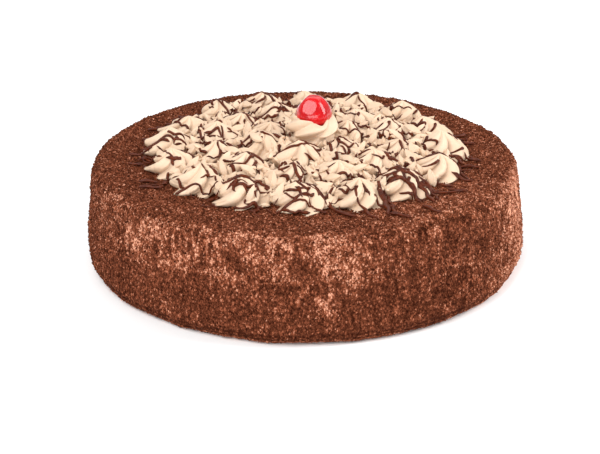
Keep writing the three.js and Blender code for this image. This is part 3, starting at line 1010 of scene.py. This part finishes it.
# %% Read the map
def cream_height(x, y):
    """Height of the cream or the cake's top at places, blended between the map's cells."""
    fx = np.clip((x + MAP_HALF) / CELL - 0.5, 0, map_size - 2)
    fy = np.clip((y + MAP_HALF) / CELL - 0.5, 0, map_size - 2)
    ix, iy = fx.astype(int), fy.astype(int)
    tx, ty = fx - ix, fy - iy
    near = height_map[iy, ix] * (1 - tx) + height_map[iy, ix + 1] * tx
    far = height_map[iy + 1, ix] * (1 - tx) + height_map[iy + 1, ix + 1] * tx
    return near * (1 - ty) + far * ty


sample = cream_height(np.array([20.0]), np.array([0.0]))[0]
print("cream height at one place:", round(float(sample), 1), "mm")

# %% [markdown]
# ## Torn cream
# Where rosettes meet, the lifting nozzle tears the soft cream into small pointed tongues that
# lie all ways. One tongue is a short tube along a line: it swells, narrows to a point, has a
# sharp top edge and lifts at its far end. It could be cut into the rosettes' own surface, but
# that would need far more points. Nearly a thousand are laid at random, most of them where two
# rosettes are about equally near, and the height map is raised over them.

# %% One tongue of cream
TONGUE_ROWS, TONGUE_COLUMNS = 5, 6


def tongue_shape():
    """One tongue from x = -1 to 1. Its half width is half a sine, less towards the far end. Its
    rings are flattened by half, but for the top point, which makes the sharp edge. The line that
    they follow rises as a square."""
    along = np.linspace(0, 1, TONGUE_ROWS + 2)[1:-1][:, None]
    around = TURN / 4 + np.linspace(0, TURN, TONGUE_COLUMNS, endpoint=False)[None, :]
    swell = 0.55 * np.sin(np.pi * along) ** 0.7 * (1.15 - 0.4 * along)
    up = np.where(np.sin(around) > 0.9, 1.0, 0.5 * np.sin(around))
    grid = np.broadcast_arrays(2 * along - 1, swell * np.cos(around), swell * up + 0.4 * along**2)
    return with_poles(np.stack(grid, axis=-1), (-1, 0, 0), (1, 0, 0.45))


print("points of a tongue:", len(tongue_shape()))

# %% Lay the tongues
TONGUES = 950
TONGUE_SMALLEST = 1.8
TONGUE_SPREAD = 4.4
TONGUE_PITCHES = (-0.9, 0.2)
TORN_SQUARE = 86
TORN_RING = (13, 84)
TORN_WIDTH = 6.0


def lay_tongues(count, seed):
    """Tongues of many sizes, each pitched and turned by its own angles and laid on the cream.
    Gives their points, one row for each tongue. The chance of a place is a hump of how much
    nearer one rosette's middle is than the next."""
    draw = np.random.default_rng(seed)
    centres = np.array([[rosette["x"], rosette["y"]] for rosette in rosettes])
    spots = draw.uniform(-TORN_SQUARE, TORN_SQUARE, (40 * count, 2))
    apart = np.sort(np.linalg.norm(spots[:, None] - centres, axis=-1), axis=1)
    between = hump(apart[:, 1] - apart[:, 0], 0, TORN_WIDTH)
    reach = np.hypot(*spots.T)
    in_ring = (reach > TORN_RING[0]) & (reach < TORN_RING[1])
    spots = spots[in_ring & (draw.random(len(spots)) < between)][:count]
    size = TONGUE_SMALLEST + TONGUE_SPREAD * draw.random((count, 1)) ** 1.5
    pitch = draw.uniform(*TONGUE_PITCHES, (count, 1))
    yaw = draw.uniform(0, TURN, (count, 1))
    x, y, z = tongue_shape().T[:, None] * size
    x, z = x * np.cos(pitch) + z * np.sin(pitch), z * np.cos(pitch) - x * np.sin(pitch)
    x, y = x * np.cos(yaw) - y * np.sin(yaw), x * np.sin(yaw) + y * np.cos(yaw)
    lie = cream_height(*spots.T)[:, None] + 0.1 * size
    return np.stack([x + spots[:, :1], y + spots[:, 1:], z + lie], axis=-1)


tongues = lay_tongues(TONGUES, 61)
first_points = tongues.shape[1] * np.arange(TONGUES)[:, None, None]
tongue_faces = [
    (part[None] + first_points).reshape(-1, part.shape[1])
    for part in round_faces(TONGUE_ROWS, TONGUE_COLUMNS)
]
points = tongues.reshape(-1, 3)
add_piece("torn_cream", points, tongue_faces, cream, smooth=False)

# %% Raise the map over the tongues
corners = points[tongue_faces[0]]
raise_map(points)
for group in (corners, corners[:, :2], corners[:, 1:3]):
    # the middle of each face, and the middles of two of its edges
    raise_map(group.mean(axis=1))
print("highest cream with its tongues:", round(float(height_map.max()), 1), "mm")

# %% [markdown]
# ## The drizzle
# Chocolate was flung over the cream from a small bag, to and fro, in two directions. Each pass
# is a wavering path seen from above, and takes its height from the map. A curve with a round
# bevel would do, but its thickness couldn't follow the bag's speed, so each strand is a tube of
# its own: rings of six points, square to the path.

# %% A strand along a path
STRAND_SIDES = 6
STRAND_STEP = 0.6
STRAND_FLATNESS = 0.8
STRAND_LIFT = 0.3
STRAND_END = 0.25
TAPER_STEPS = 3
SPEED_LIMITS = (0.15, 3)
THINNED_BY_SPEED = 0.35


def strand_tube(x, y, thick):
    """A tube along a path, thick at each step, with its section square to the path. It is a
    little flatter than round, and its ends narrow to a point."""
    z = cream_height(x, y)
    z = np.convolve(np.pad(z, 1, mode="edge"), [0.25, 0.5, 0.25], mode="valid")
    line = np.stack([x, y, z + STRAND_LIFT * thick], axis=-1)
    ahead = np.gradient(line, axis=0)
    ahead = ahead / np.linalg.norm(ahead, axis=1, keepdims=True)
    side = np.cross(ahead, [0.0, 0.0, 1.0])
    side = side / np.maximum(np.linalg.norm(side, axis=1, keepdims=True), 1e-6)
    up = np.cross(side, ahead)
    around = np.linspace(0, TURN, STRAND_SIDES, endpoint=False)[None, :, None]
    ring = np.cos(around) * side[:, None] + STRAND_FLATNESS * np.sin(around) * up[:, None]
    steps_to_end = np.minimum(np.arange(len(x)), np.arange(len(x))[::-1])
    ends = np.minimum(1, steps_to_end / TAPER_STEPS + STRAND_END)
    grid = line[:, None] + ring * (thick * ends)[:, None, None]
    return with_poles(grid, line[0], line[-1])


def lay_strands(name, paths):
    """Makes one piece of many strands. Each path is its along, its aside, the direction that
    along points in, and its half width. Chocolate piles up wherever the bag moved slowly, so
    the half width is divided by a small power of the speed."""
    points, quads, caps = [], [], []
    first = 0
    for along, aside, direction, thick in paths:
        x = along * np.cos(direction) - aside * np.sin(direction)
        y = along * np.sin(direction) + aside * np.cos(direction)
        speed = np.hypot(np.gradient(x), np.gradient(y)) / STRAND_STEP
        tube = strand_tube(x, y, thick * np.clip(speed, *SPEED_LIMITS) ** -THINNED_BY_SPEED)
        strand_quads, strand_caps = round_faces(len(x), STRAND_SIDES, first)
        points.append(tube)
        quads.append(strand_quads[:, ::-1])
        caps.append(strand_caps[:, ::-1])
        first += len(tube)
    faces = [np.concatenate(quads), np.concatenate(caps)]
    add_piece(name, np.concatenate(points), faces, chocolate)


# %% [markdown]
# The widest strands follow the same six paths as on the plain solids: straight lines that sway.

# %% Wide strands
PASSES = [
    {"count": 3, "pitch": 52, "angle": 0.08, "sway": 3.2, "overrun": 14},
    {"count": 3, "pitch": 50, "angle": -0.86, "sway": 3.8, "overrun": 9},
]
WIDE_STRAND = 0.85


def wide_paths():
    """The paths of the plain solids' strands: an offset, a sway and a quicker, smaller sway."""
    paths = []
    for run in PASSES:
        for i in range(run["count"]):
            n = len(paths)
            across = run["pitch"] * (i - (run["count"] - 1) / 2 + 0.5 * scatter(n, 1))
            half = np.sqrt(CREAM_RADIUS**2 - across**2)
            start = -half - run["overrun"] * (0.5 + scatter(n, 2))
            stop = half + run["overrun"] * (0.5 + scatter(n, 3))
            along = np.arange(start, stop, STRAND_STEP)
            sway = np.sin(along / 15 + 2.1 * n) + 0.5 * np.sin(along / 6.1 + 1.3 * n)
            thick = WIDE_STRAND * (1 + 0.25 * np.sin(along / 7 + n))
            paths.append((along, across + run["sway"] * sway, run["angle"], thick))
    return paths


lay_strands("drizzle_wide", wide_paths())

# %% [markdown]
# The photo has some thick short strokes, most of them where the drizzle runs off the cream onto
# the crumbs. They are placed one by one, because the eye goes to them.

# %% Thick strokes
POURED = [
    # x and y of both ends, how far the stroke bows aside, and its half width
    (33, -60, 43, -93, 3.0, 1.3),
    (36, -59, 46, -91, 3.0, 1.0),
    (29, -84, 37, -98, -1.0, 1.0),
    (43, -91, 54, -97, 1.0, 1.1),
    (58, -57, 67, -76, 1.5, 1.1),
    (61, -56, 70, -73, 1.5, 0.9),
    (46, -53, 60, -76, 1.5, 1.1),
    (53, -12, 61, -34, 1.0, 1.0),
    (61, -80, 70, -90, -0.8, 1.0),
    (80, -40, 91, -46, -1.0, 1.0),
    (76, -59, 86, -61, 0.6, 0.9),
    (86, -25, 97, -25, 0.6, 0.9),
    (90, -10, 99, -16, -0.6, 0.9),
    (-100, -6, -86, -6, 0.5, 0.8),
    (-99, -20, -89, -22, 0.5, 0.8),
    (-90, -46, -79, -48, 0.5, 0.9),
    (-89, -55, -75, -56, 0.5, 0.9),
    (-15, -91, 2, -84, 2.5, 0.9),
    (-12, -88, 3, -90, -2.5, 0.9),
]


def poured_paths():
    """The strokes as paths. A stroke is a straight line, bowed aside by half a sine and by a
    small quick waver."""
    paths = []
    for x0, y0, x1, y1, bow, thick in POURED:
        length = np.hypot(x1 - x0, y1 - y0)
        share = np.linspace(0, 1, int(length / STRAND_STEP))
        aside = (bow * np.sin(np.pi * share) + 0.45 * np.sin(length * share / 1.5 + x0)) / length
        x = x0 + (x1 - x0) * share - (y1 - y0) * aside
        y = y0 + (y1 - y0) * share + (x1 - x0) * aside
        paths.append((x, y, 0.0, thick * (1 + 0.25 * np.sin(9 * share + x0))))
    return paths


lay_strands("drizzle_poured", poured_paths())

# %% [markdown]
# The thin strands curl. The bag circled as it moved, so a small circle is added to a slowly
# swaying path. Where the circle is quick the strand loops over itself, and where it is slow it
# only wavers. The flow came and went, so smooth hills along the path break it into short runs.

# %% Curly strands
SHORTEST_STRAND = 3.5
CURL = 1.9
SWAY = 2.6
FLOW_LENGTH = 3.4
THIN_STRAND = 0.8
CROSSING = {
    "drizzle_across": {"direction": 0.08, "pitch": 6.3, "overrun": 8, "seed": 41},
    "drizzle_slanting": {"direction": -0.86, "pitch": 6.5, "overrun": 6, "seed": 42},
}


def curly_paths(direction, pitch, overrun, seed):
    """Strands side by side over the cream, each with a seeded lean, sway and circling."""
    draw = np.random.default_rng(seed)
    count = int(2 * CREAM_RADIUS / pitch)
    paths = []
    for i in range(count):
        across = pitch * (i - (count - 1) / 2 + draw.uniform(-0.35, 0.35))
        half = np.sqrt(max(CREAM_RADIUS**2 - across**2, 100))
        start, stop = (half + overrun * draw.uniform(-0.5, 1.0, 2)) * (-1, 1)
        steps = np.arange(start, stop, STRAND_STEP)
        a, b, c, d, e = draw.uniform(0, TURN, 5)
        swing = CURL * (0.7 + 0.5 * np.sin(steps / 21 + a))
        turned = steps / CURL + 1.4 * np.sin(steps / 8 + b) + c
        along = steps + swing * np.cos(turned)
        aside = across + SWAY * np.sin(steps / 19 + d) + swing * np.sin(turned)
        width = 1 + 0.35 * np.sin(steps / 3.3 + e) + 0.2 * np.sin(steps / 11 + a)
        lean = direction + draw.uniform(-0.15, 0.15)
        spots = np.stack([steps, np.full_like(steps, 9 * i), np.full_like(steps, seed)], -1)
        poured = hills(spots, FLOW_LENGTH, seed) > 0
        for run in np.split(np.arange(len(steps)), np.flatnonzero(np.diff(poured)) + 1):
            spread = np.hypot(np.ptp(along[run]), np.ptp(aside[run]))
            if poured[run[0]] and spread > SHORTEST_STRAND:
                paths.append((along[run], aside[run], lean, THIN_STRAND * width[run]))
    return paths


for name, strands in CROSSING.items():
    lay_strands(name, curly_paths(**strands))

# %% [markdown]
# Some chocolate ran down into the creases between the ridges and set there as thin lines.

# %% Strands in the creases
CREASES_FILLED = 0.4
CREASE_STRAND = 0.6
CREASE_STEPS = 30


def crease_paths(seed):
    """Each path stays at a crease's own angle, which turns as it rises, and spans a random part
    of the rosette's height."""
    draw = np.random.default_rng(seed)
    paths = []
    for rosette in rosettes:
        for lobe in range(LOBES):
            chance, low, high = draw.random(3)
            if chance > CREASES_FILLED:
                continue
            share = np.linspace(0.08 + 0.2 * low, 0.55 + 0.35 * high, CREASE_STEPS)
            own = TURN * lobe / LOBES
            own = own - unevenness(own, rosette["turn"])
            angle = own + rosette["turn"] + LOBE_TWIST * share**TWIST_EASE
            reach = rosette["radius"] * outline(share) * (1 - groove_depth(share)) + CLEARANCE
            x = rosette["x"] + rosette["lean"][0] * share**2 + reach * np.cos(angle)
            y = rosette["y"] + rosette["lean"][1] * share**2 + reach * np.sin(angle)
            thick = CREASE_STRAND * (1 + 0.3 * np.sin(9 * share + TURN * low))
            paths.append((x, y, 0.0, thick))
    return paths


lay_strands("drizzle_creases", crease_paths(43))

# %% [markdown]
# ## The cherry
# A candied cherry is a ball that has shrunk a little in its syrup. It tapers towards its ends,
# has a dent where its stalk was, and two flats where it was squeezed, which catch the light. A
# ball could be carved with cutters, but the flats' edges would be sharp. Here the points beyond
# a flat are pushed most of the way back to it, with a soft corner.

# %% Ball of the cherry
CHERRY_ROWS, CHERRY_COLUMNS = 64, 112
CHERRY_LUMPS = {"depth": 0.025, "count": 5, "start": 0.6}
CHERRY_UNEVEN = 0.35
STALK_DENT = 0.3
tilt = np.linspace(0, np.pi, CHERRY_ROWS + 2)[1:-1][:, None]
angle = np.linspace(0, TURN, CHERRY_COLUMNS, endpoint=False)[None, :]
bulging = np.sin(CHERRY_LUMPS["count"] * angle + CHERRY_LUMPS["start"])
lumps = 1 + CHERRY_LUMPS["depth"] * np.sin(tilt) * bulging
ball = round_grid(np.sin(tilt), angle, -np.cos(tilt))
uneven = CHERRY_UNEVEN * hills(ball * 10, 7.0, 51)
reach = (CHERRY["radius"] * lumps + uneven) * np.sin(tilt) ** CHERRY["taper"]
rise = -np.sign(np.cos(tilt)) * np.abs(np.cos(tilt)) ** CHERRY["taper"]
dent = hump(np.sin(tilt), 0, STALK_DENT) * (rise > 0)
half_height = np.where(rise > 0, CHERRY["up"], CHERRY["down"])
height = CAKE_HEIGHT + CHERRY["height"] + (half_height + uneven) * rise - dent
cherry_grid = round_grid(reach, angle, height, CHERRY["x"], CHERRY["y"])
lowest = (CHERRY["x"], CHERRY["y"], float(height[0].mean()) - 0.01)
highest = (CHERRY["x"], CHERRY["y"], float(height[-1].mean()))
cherry_points = with_poles(cherry_grid, lowest, highest)
print("cherry:", round(float(2 * reach.max()), 1), "mm across before its flats")

# %% Flats of the cherry
FLAT_PRESS = 0.85
FLAT_BLEND = 0.3
middle = np.array([CHERRY["x"], CHERRY["y"], CAKE_HEIGHT + CHERRY["height"]])
for towards, flat_reach in CHERRY_FLATS:
    towards = np.array(towards) / np.linalg.norm(towards)
    past = (cherry_points - middle) @ towards - flat_reach
    beyond = FLAT_BLEND * np.log1p(np.exp(past / FLAT_BLEND))
    cherry_points = cherry_points - FLAT_PRESS * beyond[:, None] * towards
cherry_faces = round_faces(*cherry_grid.shape[:2])
candied_cherry = add_piece(
    "candied_cherry", cherry_points, cherry_faces, candied
)
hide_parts("cherry")

# %% [markdown]
# ## Table, light and camera
# The cake stands on a plain pale floor. A large soft lamp at the upper left lights the cream
# and makes the patch of light on the cherry. One at the right makes the streak, a broad low one
# in front opens the shadows on the side, and one behind and above keeps the floor white. A
# single bright picture of a studio could light it all, but lamps are easier to place. The
# camera stands where the photo's did.

# %% Floor
bpy.ops.mesh.primitive_plane_add(size=12)
floor = bpy.context.object
floor.name = "floor"
floor_finish, nodes, links, shader = new_finish("pale_floor", Roughness=0.9, Specular_IOR_Level=0.1)
dust = grain(nodes, links, 300.0)
floor_shades = [(0.3, (0.90, 0.90, 0.90)), (0.7, (0.92, 0.92, 0.92))]
floor_colour = colour_steps(nodes, links, dust.outputs["Fac"], floor_shades)
links.new(floor_colour, shader.inputs["Base Color"])
floor.data.materials.append(floor_finish)


# %% Lamps
LAMP_AIM = Vector((0, 0, 0.05))
ROOM_LIGHT = 0.45


def soft_lamp(name, direction, distance, width, height, power):
    """A rectangular lamp that faces the cake from a direction, at a distance in metres."""
    lamp = bpy.data.lights.new(name, "AREA")
    lamp.shape = "RECTANGLE"
    lamp.size = width
    lamp.size_y = height
    lamp.energy = power
    holder = bpy.data.objects.new(name, lamp)
    holder.location = Vector(direction).normalized() * distance + LAMP_AIM
    holder.rotation_euler = (LAMP_AIM - holder.location).to_track_quat("-Z", "Y").to_euler()
    bpy.context.scene.collection.objects.link(holder)


soft_lamp("lamp_upper_left", (-0.42, -0.50, 0.76), 1.4, 1.0, 0.9, 17)
soft_lamp("lamp_right", (0.84, -0.03, 0.54), 1.3, 0.55, 1.0, 15)
soft_lamp("lamp_front", (-0.10, -1.0, 0.20), 2.0, 1.8, 0.7, 19)
soft_lamp("lamp_back", (0.0, 0.62, 0.78), 1.9, 2.4, 1.4, 14)
world = bpy.data.worlds.new("soft_room")
world.use_nodes = True
world.node_tree.nodes["Background"].inputs["Color"].default_value = (1, 1, 1, 1)
world.node_tree.nodes["Background"].inputs["Strength"].default_value = ROOM_LIGHT
bpy.context.scene.world = world
bpy.context.scene.view_settings.view_transform = "Standard"
print("lamps:", [light.name for light in bpy.data.lights])

# %% Camera
IMAGE_WIDTH = 600
FOCAL_PIXELS = 1403.3
SHIFT_PIXELS = (-4.57, -26.45)
FILM_WIDTH = 36
ELEVATION = np.radians(22.35)
DISTANCE = 0.8125
AIM = Vector((0, 0, 0.0289))
lens = bpy.data.cameras.new("camera")
lens.sensor_width = FILM_WIDTH
lens.lens = FILM_WIDTH * FOCAL_PIXELS / IMAGE_WIDTH
lens.shift_x = SHIFT_PIXELS[0] / IMAGE_WIDTH
lens.shift_y = SHIFT_PIXELS[1] / IMAGE_WIDTH
camera = bpy.data.objects.new("camera", lens)
camera.location = AIM + DISTANCE * Vector((0, -np.cos(ELEVATION), np.sin(ELEVATION)))
camera.rotation_euler = (AIM - camera.location).to_track_quat("-Z", "Y").to_euler()
bpy.context.scene.collection.objects.link(camera)
bpy.context.scene.camera = camera
print("camera lens:", round(lens.lens, 1), "mm")
